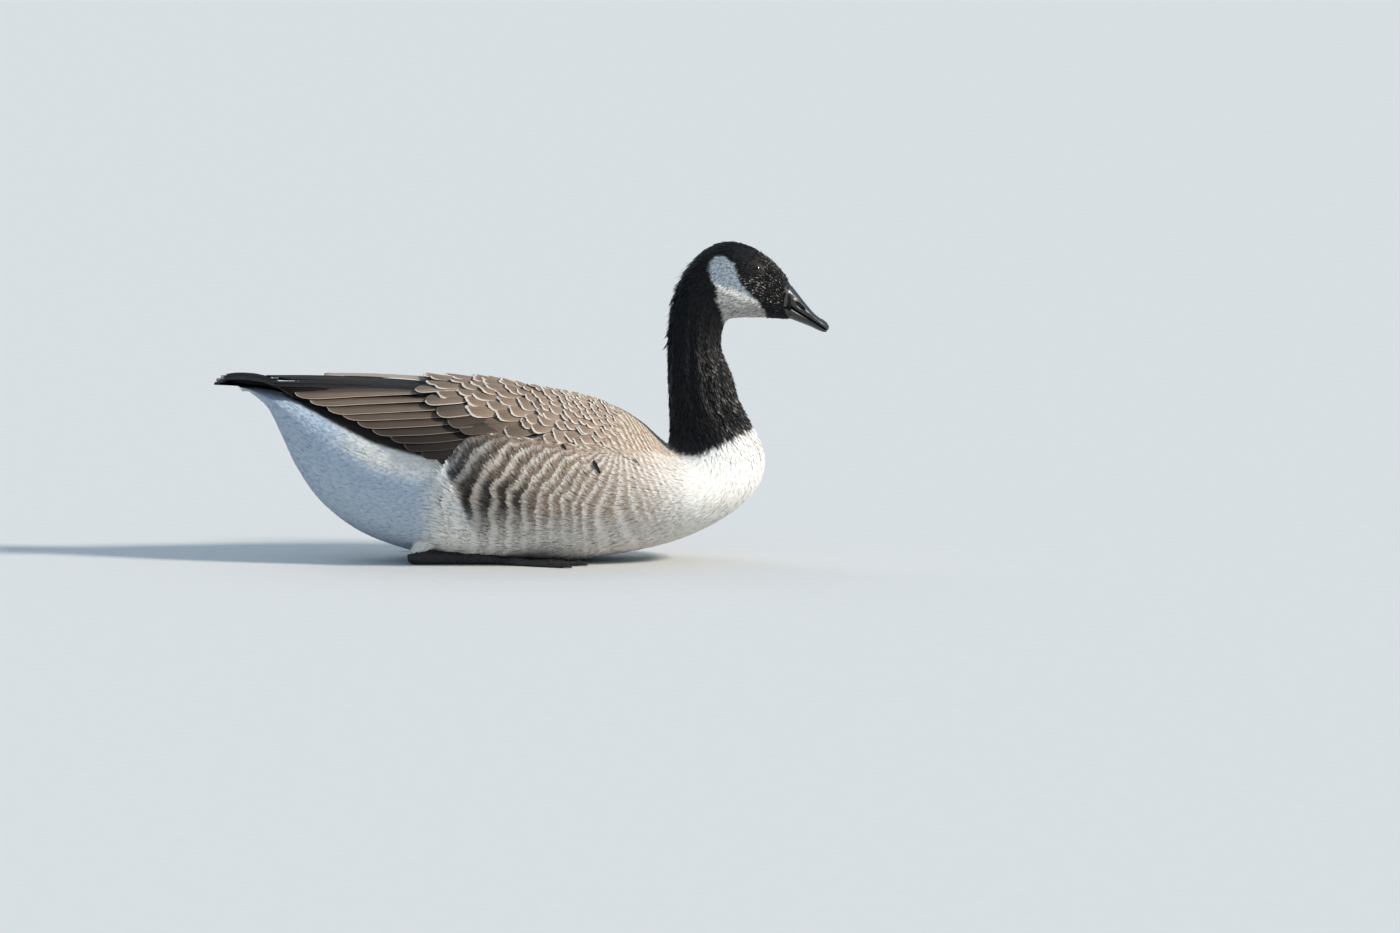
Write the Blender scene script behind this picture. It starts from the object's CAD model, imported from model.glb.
"""Looks of a life-size Canada goose at rest: skin, plumage, bill, eyes, legs and feet, built in
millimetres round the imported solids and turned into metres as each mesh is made."""

import math

import bpy
import numpy as np
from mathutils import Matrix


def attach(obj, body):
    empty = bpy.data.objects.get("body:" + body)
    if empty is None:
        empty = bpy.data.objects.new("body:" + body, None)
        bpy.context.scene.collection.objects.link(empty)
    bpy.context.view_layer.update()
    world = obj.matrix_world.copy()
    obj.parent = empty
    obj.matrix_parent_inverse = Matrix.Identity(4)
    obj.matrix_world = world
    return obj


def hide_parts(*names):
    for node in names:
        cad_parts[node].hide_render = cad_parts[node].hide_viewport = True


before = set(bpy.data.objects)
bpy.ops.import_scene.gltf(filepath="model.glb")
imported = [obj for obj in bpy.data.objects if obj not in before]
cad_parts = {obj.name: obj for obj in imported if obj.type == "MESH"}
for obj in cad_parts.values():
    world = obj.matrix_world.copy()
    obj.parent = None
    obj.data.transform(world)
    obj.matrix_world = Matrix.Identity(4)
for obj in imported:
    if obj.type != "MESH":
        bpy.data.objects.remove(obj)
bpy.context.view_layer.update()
rng = np.random.default_rng(11)

MM = 0.001
TURN = 2 * math.pi
MOST_TRIANGLES = 190000

# Plane sections of the trunk, neck and head: back x, back z, belly x, belly z, half width,
# level of the widest place, and fullness above and below it.
BODY_LINES = np.array([
    [-275.5, 174.8, -272.5, 169.0, 11.0, 0.40, 2.0, 2.0],
    [-259.5, 174.0, -253.5, 153.0, 27.0, 0.42, 2.0, 2.0],
    [-236.5, 172.0, -240.0, 126.0, 42.0, 0.45, 2.0, 2.0],
    [-211.5, 171.0, -224.5, 93.0, 56.0, 0.47, 2.0, 2.0],
    [-181.5, 169.5, -199.5, 58.0, 70.0, 0.48, 2.0, 2.0],
    [-141.5, 169.0, -159.5, 28.0, 84.0, 0.48, 2.1, 2.0],
    [-91.5, 169.5, -106.5, 9.0, 96.0, 0.48, 2.1, 2.0],
    [-41.5, 169.5, -53.5, 0.5, 103.5, 0.48, 2.1, 2.1],
    [8.5, 167.0, 0.5, -1.0, 105.0, 0.48, 2.1, 2.1],
    [53.5, 162.5, 56.5, 1.0, 102.5, 0.48, 2.1, 2.1],
    [90.5, 154.5, 110.5, 9.5, 97.0, 0.48, 2.1, 2.1],
    [118.5, 139.0, 158.5, 21.5, 89.0, 0.50, 2.0, 2.1],
    [135.5, 123.5, 198.5, 40.0, 79.0, 0.52, 2.0, 2.1],
    [144.0, 115.5, 226.5, 61.0, 68.0, 0.53, 1.9, 2.1],
    [147.0, 119.0, 241.0, 82.0, 57.0, 0.54, 1.9, 2.0],
    [147.5, 128.5, 242.5, 106.0, 46.0, 0.54, 1.9, 2.0],
    [147.8, 142.0, 231.5, 133.0, 37.0, 0.52, 2.0, 2.0],
    [147.5, 160.0, 218.0, 159.0, 30.5, 0.50, 2.0, 2.0],
    [146.5, 185.0, 210.5, 185.0, 26.0, 0.50, 2.0, 2.0],
    [146.8, 210.0, 199.8, 211.0, 22.5, 0.50, 2.0, 2.0],
    [148.0, 235.0, 201.0, 232.0, 22.0, 0.50, 2.0, 2.0],
    [152.0, 262.0, 206.9, 241.1, 22.5, 0.50, 2.0, 2.0],
    [161.5, 285.0, 220.5, 243.0, 23.5, 0.52, 2.0, 2.0],
    [178.5, 307.5, 235.5, 243.0, 24.0, 0.54, 2.0, 2.0],
    [202.5, 319.0, 247.5, 242.5, 23.8, 0.50, 2.0, 2.0],
    [228.5, 314.5, 255.5, 242.0, 21.8, 0.46, 2.0, 2.0],
    [250.5, 300.0, 261.5, 241.6, 17.5, 0.46, 2.0, 2.0],
    [263.0, 286.0, 265.5, 241.5, 14.8, 0.46, 2.0, 2.0],
    [270.0, 274.5, 269.0, 241.5, 13.4, 0.46, 2.0, 2.0],
])
# Place of the neck's base along these sections, counted in rows.
NECK_BASE = 15.2
WING_LINES = np.array([
    [-262.0, 186.0, -262.0, 178.0, 15.0, 0.70, 2.0, 2.0],
    [-231.5, 185.9, -231.5, 162.0, 33.0, 0.74, 2.0, 2.0],
    [-196.5, 185.9, -199.5, 140.0, 52.0, 0.82, 2.0, 2.0],
    [-161.5, 185.7, -166.5, 110.0, 71.5, 0.80, 2.0, 2.0],
    [-121.5, 185.2, -126.5, 85.0, 91.0, 0.76, 2.0, 2.0],
    [-81.5, 184.0, -89.5, 40.0, 102.0, 0.52, 2.1, 2.0],
    [-30.5, 182.0, -39.5, 3.0, 106.0, 0.49, 2.1, 2.0],
    [8.5, 175.0, 6.5, 0.0, 106.0, 0.48, 2.1, 2.0],
    [50.3, 167.5, 56.5, 3.0, 103.0, 0.48, 2.1, 2.0],
    [80.5, 159.0, 110.5, 11.0, 96.0, 0.48, 2.1, 2.0],
    [106.5, 147.0, 150.5, 20.0, 88.5, 0.50, 2.0, 2.0],
])
# Side outline of the wing where scapulars and coverts hide it, from the shoulder round the lower edge.
WING_OUTLINE = np.array([
    [119.0, 117], [78.5, 117], [38.5, 122], [-6.5, 129], [-43.5, 133], [-61.5, 129], [-71.5, 108],
    [-92, 112], [-104, 150], [-112, 200], [58, 200], [68.5, 160], [86, 141], [106, 126],
])
TAIL_LINES = np.array([
    [-171.5, 157.0, 24.0, 14.0],
    [-198.5, 162.0, 28.0, 10.5],
    [-225.5, 167.5, 32.0, -0.5],
    [-253.5, 172.5, 35.0, -7.5],
    [-280.5, 175.5, 38.0, -8.5],
    [-307.5, 177.0, 40.0, -7.5],
])
UPPER_BILL_LINES = np.array([
    [270.4, 274.5, 269.8, 253.6, 13.0, 0.62, 2.0, 3.0],
    [278.5, 264.0, 278.5, 247.8, 11.6, 0.66, 2.0, 3.2],
    [285.5, 255.2, 285.5, 243.6, 11.0, 0.66, 2.0, 3.2],
    [292.5, 247.2, 292.5, 239.4, 11.0, 0.62, 2.1, 3.2],
    [299.5, 241.5, 299.5, 235.0, 10.5, 0.58, 2.1, 3.0],
    [305.0, 237.4, 304.6, 230.5, 7.6, 0.52, 2.0, 2.4],
    [307.5, 233.2, 306.6, 229.5, 3.0, 0.50, 2.0, 2.0],
])
LOWER_BILL_LINES = np.array([
    [269.75, 254.2, 269.4, 241.5, 11.4, 0.34, 2.6, 2.0],
    [278.5, 248.6, 278.5, 238.0, 9.9, 0.36, 2.6, 2.0],
    [289.0, 242.4, 289.2, 233.8, 9.2, 0.38, 2.6, 2.0],
    [297.0, 237.4, 296.6, 230.3, 8.2, 0.40, 2.6, 2.0],
    [303.0, 232.8, 302.0, 228.4, 5.6, 0.45, 2.2, 2.0],
    [305.6, 231.2, 305.0, 228.6, 2.6, 0.45, 2.2, 2.0],
])

EYE_CENTRE = np.array([233.2, 13.2, 291.6])
EYE_RADIUS = 8.5


def linear(red, green, blue):
    """A colour as the eye reads it, from 0 to 1, in the linear values that shaders take."""
    c = np.array([red, green, blue], float)
    return np.where(c <= 0.04045, c / 12.92, ((c + 0.055) / 1.055) ** 2.4)


BLACK = linear(0.048, 0.046, 0.050)
WHITE = linear(0.92, 0.91, 0.885)
DARK_BROWN = linear(0.30, 0.25, 0.21)
WING_BLACK = linear(0.09, 0.083, 0.08)


# Smooth forms


def along(rows, t):
    """A smooth curve through rows of numbers, at places t counted in rows."""
    last = len(rows) - 1
    i = np.clip(np.floor(t).astype(int), 0, last - 1)
    u = (t - i)[..., None]
    before, start = rows[np.maximum(i - 1, 0)], rows[i]
    end, after = rows[i + 1], rows[np.minimum(i + 2, last)]
    slope, next_slope, rise = (end - before) / 2, (after - start) / 2, end - start
    return start + u * (slope + u * (3 * rise - 2 * slope - next_slope + u * (slope + next_slope - 2 * rise)))


def section(row, angle):
    """Points on plane sections. The angle is 0 on the back and half a turn on the belly."""
    back_x, back_z, belly_x, belly_z, half, level, above, below = np.moveaxis(row, -1, 0)
    cosine, sine = np.cos(angle), np.sin(angle)
    power = 2 / np.where(cosine >= 0, above, below)
    height = np.abs(cosine) ** power
    share = np.where(cosine >= 0, level * (1 - height), level + (1 - level) * height)
    y = half * np.sign(sine) * np.abs(sine) ** power
    return np.stack([back_x + (belly_x - back_x) * share, y, back_z + (belly_z - back_z) * share], -1)


def smooth(low, high, x):
    t = np.clip((np.asarray(x, float) - low) / (high - low), 0, 1)
    return t * t * (3 - 2 * t)


def mix(a, b, share):
    share = np.asarray(share)[..., None]
    return a * (1 - share) + b * share


def unit(vectors):
    return vectors / np.maximum(np.linalg.norm(vectors, axis=-1, keepdims=True), 1e-9)


def line_at(line, x):
    """A line of x and z, drawn in side view, read at x."""
    return np.interp(x, line[:, 0], line[:, 1])


def between(grid, x, y):
    """A grid of values read between its places, at x and y counted in its steps."""
    i, j = np.minimum(x.astype(int), grid.shape[0] - 2), np.minimum(y.astype(int), grid.shape[1] - 2)
    fx, fy = x - i, y - j
    if grid.ndim == 3:
        fx, fy = fx[..., None], fy[..., None]
    low = grid[i, j] * (1 - fy) + grid[i, j + 1] * fy
    high = grid[i + 1, j] * (1 - fy) + grid[i + 1, j + 1] * fy
    return low * (1 - fx) + high * fx


class Form:
    """A smooth form through plane sections, kept as a fine grid that is read at any place. The run along
    its side is the same number as x at the section called origin, or else at the middle one."""

    def __init__(self, lines, origin=None, per_row=24, turns=360):
        self.last = len(lines) - 1
        self.per_row, self.turns = per_row, turns
        self.v = np.linspace(0, self.last, self.last * per_row + 1)
        self.angle = np.linspace(0, TURN, turns + 1)
        rows = along(lines, self.v)[:, None, :]
        self.points = section(rows, self.angle[None, :])
        ahead = np.gradient(self.points, self.v, axis=0)
        wrapped = np.concatenate([self.points[:, -2:-1], self.points, self.points[:, 1:2]], 1)
        left = (wrapped[:, 2:] - wrapped[:, :-2]) / (2 * TURN / turns)
        self.normals = unit(np.cross(ahead, left))
        self.per_v = np.linalg.norm(ahead, axis=-1)
        self.per_angle = np.linalg.norm(left, axis=-1)
        step = np.linalg.norm(np.diff(self.points[:, :turns // 2 + 1], axis=1), axis=-1)
        self.down = np.concatenate([np.zeros((len(self.v), 1)), np.cumsum(step, 1)], 1)
        side = self.points[:, turns // 4]
        run = np.concatenate([[0], np.cumsum(np.linalg.norm(np.diff(side, axis=0), axis=-1))])
        start = len(self.v) // 2 if origin is None else origin * per_row
        self.run = run - run[start] + side[start, 0]

    def read(self, grid, v, angle):
        return between(grid, np.clip(v, 0, self.last) * self.per_row, np.mod(angle, TURN) / TURN * self.turns)

    def at(self, v, angle, lift=0):
        v, angle, lift = np.broadcast_arrays(np.asarray(v, float), angle, lift)
        return self.read(self.points, v, angle) + self.read(self.normals, v, angle) * lift[..., None]

    def place(self, u, h):
        """Place v and angle on one side, for a run u along the side and a distance h down from the back."""
        v = np.interp(u, self.run, self.v)
        x = v * self.per_row
        i = np.minimum(x.astype(int), len(self.v) - 2)
        f = x - i
        angle = np.empty(len(u))
        half = self.angle[:self.turns // 2 + 1]
        for k in range(len(u)):
            ring = self.down[i[k]] * (1 - f[k]) + self.down[i[k] + 1] * f[k]
            angle[k] = np.interp(h[k], ring, half) if h[k] <= ring[-1] else np.nan
        return v, angle


body = Form(BODY_LINES, origin=7)
wing = Form(WING_LINES)


def from_outline(points, outline):
    """Distance from an outline drawn in the XZ plane, below 0 inside it."""
    p = points[..., [0, 2]] if points.shape[-1] == 3 else points
    nearest = np.full(p.shape[:-1], 1e9)
    inside = np.zeros(p.shape[:-1], bool)
    for a, b in zip(outline, np.roll(outline, -1, 0)):
        edge = b - a
        t = np.clip(((p - a) @ edge) / (edge @ edge), 0, 1)
        nearest = np.minimum(nearest, np.linalg.norm(p - a - t[..., None] * edge, axis=-1))
        crosses = (a[1] > p[..., 1]) != (b[1] > p[..., 1])
        with np.errstate(divide="ignore", invalid="ignore"):
            x = a[0] + (p[..., 1] - a[1]) / (b[1] - a[1]) * (b[0] - a[0])
        inside ^= crosses & (p[..., 0] < x)
    return np.where(inside, -nearest, nearest)


def wobble(p, size, seed=0.0):
    """Smooth unevenness from -1 to 1 over places p, with the given size of its patches."""
    x, y, z = p[..., 0] / size, p[..., 1] / size, p[..., 2] / size
    return (np.sin(x * 2.1 + y * 1.3 + seed) * np.sin(y * 1.7 - z * 2.3 + 2.1 * seed)
            + np.sin(z * 1.9 + x * 1.1 - 1.7 * seed) * np.cos(x * 0.7 - y * 2.2 + seed)) / 2


# Markings, the same for skin and feathers

CHEEK = np.array([
    [192.5, 305.0], [202.5, 305.5], [211.5, 298.0], [215.5, 288.0], [217.5, 280.0], [226.5, 270.0],
    [234.5, 262.0], [242.5, 250.0], [248.0, 236.0], [203.0, 236.0], [199.5, 252.0], [195.5, 261.0],
    [195.5, 275.0], [190.5, 283.0], [188.0, 290.0], [188.0, 299.0],
])
# Side outline of the curled feathers of the face, below and in front of the eye.
FACE = np.array([
    [220.7, 287.6], [235.5, 284.8], [244.5, 289.5], [243.0, 300.5], [237.5, 304.5], [241.0, 311.0],
    [258.0, 308.0], [276.0, 277.0], [266.0, 257.0], [254.6, 256.8], [241.2, 264.0], [229.5, 272.5],
    [220.7, 281.4],
])
# Lower edge of the black neck in side view, x and z, from the back to the front.
NECK_HEM = np.array([
    [100.0, 166.0], [130.0, 139.0], [140.0, 127.0], [147.0, 114.0], [157.0, 108.5], [171.0, 107.5],
    [182.0, 109.5], [196.0, 116.0], [216.0, 126.0], [245.0, 136.0],
])
# Lower edge of the wing in side view, x and z, from the tail to the shoulder.
WING_EDGE = np.array([
    [-300.0, 199.0], [-221.5, 160.0], [-181.5, 140.0], [-161.5, 130.5], [-146.5, 124.0], [-126.5, 118.5],
    [-101.5, 112.5], [-71.5, 108.0], [-61.5, 128.0], [-43.5, 133.0], [-6.5, 129.0], [38.5, 122.0],
    [78.5, 117.0], [133.5, 113.0], [160.0, 104.0], [200.0, 100.0],
])
# Top of the flank feathers in side view, x and z, carried on level behind them for the layout of the rows.
FLANK_TOP = np.array([
    [-300.0, 133.0], [-43.5, 133.0], [-6.5, 129.0], [38.5, 122.0], [78.5, 117.0], [133.5, 113.0],
    [160.0, 104.0], [200.0, 100.0],
])
# Rear and upper edge of the flank feathers in side view, x and z, where they lie over vent and wing.
FLANK_EDGE = np.array([[-79.0, 94.0], [-74.0, 106.0], [-60.0, 121.0], [-46.5, 131.5], *FLANK_TOP[2:]])
# Front edge of the white vent in side view, z and x, from the belly up.
VENT_EDGE = np.array([
    [0.0, -34.0], [40.0, -50.0], [70.0, -63.0], [86.0, -69.0], [100.0, -74.0], [108.0, -72.0],
    [128.0, -61.0], [136.0, -43.0],
])
# How far back the rows of the flank lean under its top, and over what depth they turn.
LEAN_REACH, LEAN_DEPTH = 26.0, 11.0


def depth_to(form, line):
    """Distance down from the back to a line drawn in side view, at each place along a form."""
    depth = []
    for i in range(len(form.v)):
        ring = form.points[i, :form.turns // 2 + 1]
        below = ring[:, 2] < line_at(line, ring[:, 0])
        depth.append(form.down[i, np.argmax(below)] if below.any() else form.down[i, -1])
    return np.array(depth)


body_top = depth_to(body, FLANK_TOP)


def rows_at(u, h):
    """Which row of body feathers covers a place, as a number that grows towards the tail by one a row.
    u is the run along the side and h the distance down from the back."""
    d = h - np.interp(u, body.run, body_top)
    low = np.maximum(d, 0)
    lean = -LEAN_REACH * (1 - np.exp(-low / LEAN_DEPTH)) - 0.5 * np.minimum(low, 55)
    rear = np.where(d > 0, lean, 1.2 * np.minimum(d, 0))
    front = 0.42 * np.minimum(h, 70) + 0.12 * np.maximum(h - 70, 0) - 70
    front = np.where(d > 0, front, 0.30 * h - 45)
    share = smooth(62, 128, u)
    w = u - (rear * (1 - share) + front * share)
    return np.interp(w, ROW_PLACES, ROW_NUMBERS)


ROW_PLACES = np.linspace(-360, 420, 800)
row_pitch = np.interp(ROW_PLACES, [-120, -60, 0, 30, 60, 110, 160], [22.0, 21.0, 20.0, 17.0, 14.0, 10.0, 7.5])
ROW_NUMBERS = -np.cumsum(1 / row_pitch) * (ROW_PLACES[1] - ROW_PLACES[0])


def plumage(p, wild=0.0):
    """Colours of the dark bars and of the pale bars of the coat at places p."""
    x, z = p[..., 0], p[..., 2]
    uneven = wobble(p, 17.0) + wild
    edge = line_at(WING_EDGE, x)
    above = smooth(-2, 2, z - edge)

    def zones(*colours):
        """Colours along the bird, from the rear of the flank to the white of the breast."""
        colours = [*(linear(*c) for c in colours), WHITE]
        places = (-80, -52, -25, 10, 60, 125, 172)
        return np.stack([np.interp(x + 5 * uneven, places, [c[k] for c in colours]) for k in range(3)], -1)

    dark = zones((0.17, 0.175, 0.185), (0.28, 0.265, 0.25), (0.44, 0.38, 0.335), (0.55, 0.48, 0.42),
                 (0.64, 0.565, 0.495), (0.76, 0.70, 0.64))
    pale = zones((0.37, 0.39, 0.42), (0.57, 0.55, 0.53), (0.76, 0.715, 0.665), (0.82, 0.775, 0.72),
                 (0.86, 0.82, 0.77), (0.89, 0.865, 0.83))
    scales = smooth(96, 80, z) * smooth(-76, -62, x) * smooth(22, -8, x) * smooth(40, 66, z) * 0.85
    dark, pale = mix(dark, linear(0.20, 0.18, 0.165), scales), mix(pale, linear(0.70, 0.66, 0.61), scales)
    belly = 0.85 * smooth(66, 18, z)
    dark, pale = mix(dark, WHITE * 0.95, belly), mix(pale, WHITE, belly)
    mantle = mix(linear(0.50, 0.43, 0.37), linear(0.66, 0.575, 0.495), smooth(20, 120, x))
    breast = smooth(140, 172, x + 4 * uneven)
    mantle, mantle_pale = mix(mantle, WHITE, breast), mix(linear(0.87, 0.82, 0.755), WHITE, breast)
    dark, pale = mix(dark, mantle, above), mix(pale, mantle_pale, above)

    def cover_with(share, colour, light=None):
        return mix(dark, colour, share), mix(pale, colour if light is None else light, share)

    vent = smooth(2.5, -2.5, x + 1.5 * uneven - line_at(VENT_EDGE, z)) * (1 - above)
    lit = np.maximum(smooth(34, 14, edge - z) * smooth(-200, -150, x), smooth(-110, -75, x))
    dark, pale = cover_with(vent, mix(linear(0.71, 0.765, 0.82), WHITE, lit))
    under = mix(linear(0.15, 0.13, 0.115), WING_BLACK, smooth(-130, -200, x))
    dark, pale = cover_with(above * smooth(-60, -90, x), under)
    dark, pale = cover_with(smooth(-212, -217, x) * smooth(-244, -238, x) * smooth(167.5, 169.5, z), WHITE)
    hem = z - line_at(NECK_HEM, x) + 2.2 * wobble(p, 3.1, 4.0) + 1.5 * wild
    black = smooth(-2.5, 2.5, hem) * (x > 110)
    dark, pale = cover_with(black, BLACK * (1 + 0.15 * wobble(p, 9.0, 2.0))[..., None])
    cheek = from_outline(p, CHEEK) + 1.1 * wobble(p, 2.6, 1.0) + 0.8 * wild
    patch = smooth(1.2, -1.2, cheek) * (z > 236) * (x > 180)
    ridge = z + 0.42 * (x - 190) - 279 + 1.5 * wobble(p, 5.0, 6.0)
    white = mix(WHITE * 0.52, linear(0.585, 0.625, 0.655), smooth(-1, 4, ridge))
    white = mix(white, WHITE, smooth(-7, -2, ridge) * smooth(4, 0, ridge))
    shade = 1 - 0.16 * smooth(276, 262, z) * (1 + 1.6 * wobble(p, 3.0, 3.0)) + 0.25 * smooth(252, 243, z)
    return cover_with(patch, white * shade[..., None])


# Meshes


def new_mesh(name, points, quads, layers=None, colours=None, uvs=None, normals=None, rim=None):
    """A smooth mesh object from millimetre points and quads, with named values on its points."""
    mesh = bpy.data.meshes.new(name)
    quads = np.asarray(quads, np.int32)
    size = quads.shape[1]
    mesh.vertices.add(len(points))
    mesh.vertices.foreach_set("co", (np.asarray(points) * MM).astype(np.float32).ravel())
    mesh.loops.add(quads.size)
    mesh.loops.foreach_set("vertex_index", quads.ravel())
    mesh.polygons.add(len(quads))
    mesh.polygons.foreach_set("loop_start", np.arange(len(quads), dtype=np.int32) * size)
    mesh.polygons.foreach_set("use_smooth", np.ones(len(quads), bool))
    mesh.update(calc_edges=True)
    for layer, values in (layers or {}).items():
        data = values.astype(np.float32).ravel()
        mesh.attributes.new(layer, "FLOAT", "POINT").data.foreach_set("value", data)
    for layer, values in (colours or {}).items():
        data = np.concatenate([values, np.ones((len(values), 1))], 1).astype(np.float32)
        mesh.attributes.new(layer, "FLOAT_COLOR", "POINT").data.foreach_set("color", data.ravel())
    for layer, values in (uvs or {}).items():
        data = values[quads.ravel()].astype(np.float32)
        mesh.uv_layers.new(name=layer).data.foreach_set("uv", data.ravel())
    if rim is not None:
        pairs = np.empty(len(mesh.edges) * 2, np.int32)
        mesh.edges.foreach_get("vertices", pairs)
        sharp = rim[pairs].reshape(-1, 2).all(1)
        mesh.attributes.new("sharp_edge", "BOOLEAN", "EDGE").data.foreach_set("value", sharp)
    if normals is not None:
        mesh.normals_split_custom_set(normals)
    piece = bpy.data.objects.new(name, mesh)
    bpy.context.scene.collection.objects.link(piece)
    return piece


def ring_places(v, turns):
    """Places v and angles of closed rings of points."""
    return np.meshgrid(v, np.arange(turns) * TURN / turns, indexing="ij")


def ring_quads(rows, turns):
    index = np.arange(rows * turns).reshape(rows, turns)
    after = np.roll(index, -1, 1)
    return np.stack([index[:-1], index[1:], after[1:], after[:-1]], -1).reshape(-1, 4)


def closed(points):
    """Points and quads of a closed form through rings, with quads round a middle point over each end."""
    rows, turns = points.shape[:2]
    flat, quads = points.reshape(-1, 3), [ring_quads(rows, turns)]
    for row, step in ((0, -1), (rows - 1, 1)):
        ring = row * turns + np.arange(turns)
        fan = np.stack([np.full(turns // 2, len(flat)), ring[0::2], ring[1::2], np.roll(ring, -2)[0::2]], -1)
        flat = np.concatenate([flat, points[row].mean(0)[None]])
        quads.append(fan[:, ::step])
    return flat, np.concatenate(quads)


def finish_piece(piece, material, replaces=()):
    piece.data.materials.append(material)
    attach(piece, "root")
    if replaces:
        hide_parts(*replaces)
    return piece


# Outlines of feathers: places along the length, the share of the width there, and places across.
CONTOUR = (np.array([0, 0.3, 0.55, 0.75, 0.9, 0.97, 1.0]),
           np.array([0.5, 0.86, 1.0, 0.98, 0.76, 0.5, 0.22]),
           np.array([-1, -0.82, -0.42, 0, 0.42, 0.82, 1]))
TUFT = (np.array([0, 0.4, 0.75, 1.0]), np.array([0.6, 1.0, 0.8, 0.16]), np.array([-1, 0, 1.0]))


def vane_faces(rows, columns):
    """Quads of a closed vane: a top and a bottom grid that share their rim."""
    top = np.arange(rows * columns).reshape(rows, columns)
    bottom = top.copy()
    inner = (rows - 2) * (columns - 2)
    bottom[1:-1, 1:-1] = rows * columns + np.arange(inner).reshape(rows - 2, columns - 2)

    def quads(grid):
        return np.stack([grid[:-1, :-1], grid[:-1, 1:], grid[1:, 1:], grid[1:, :-1]], -1).reshape(-1, 4)

    return np.concatenate([quads(top), quads(bottom)[:, ::-1]])


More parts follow.
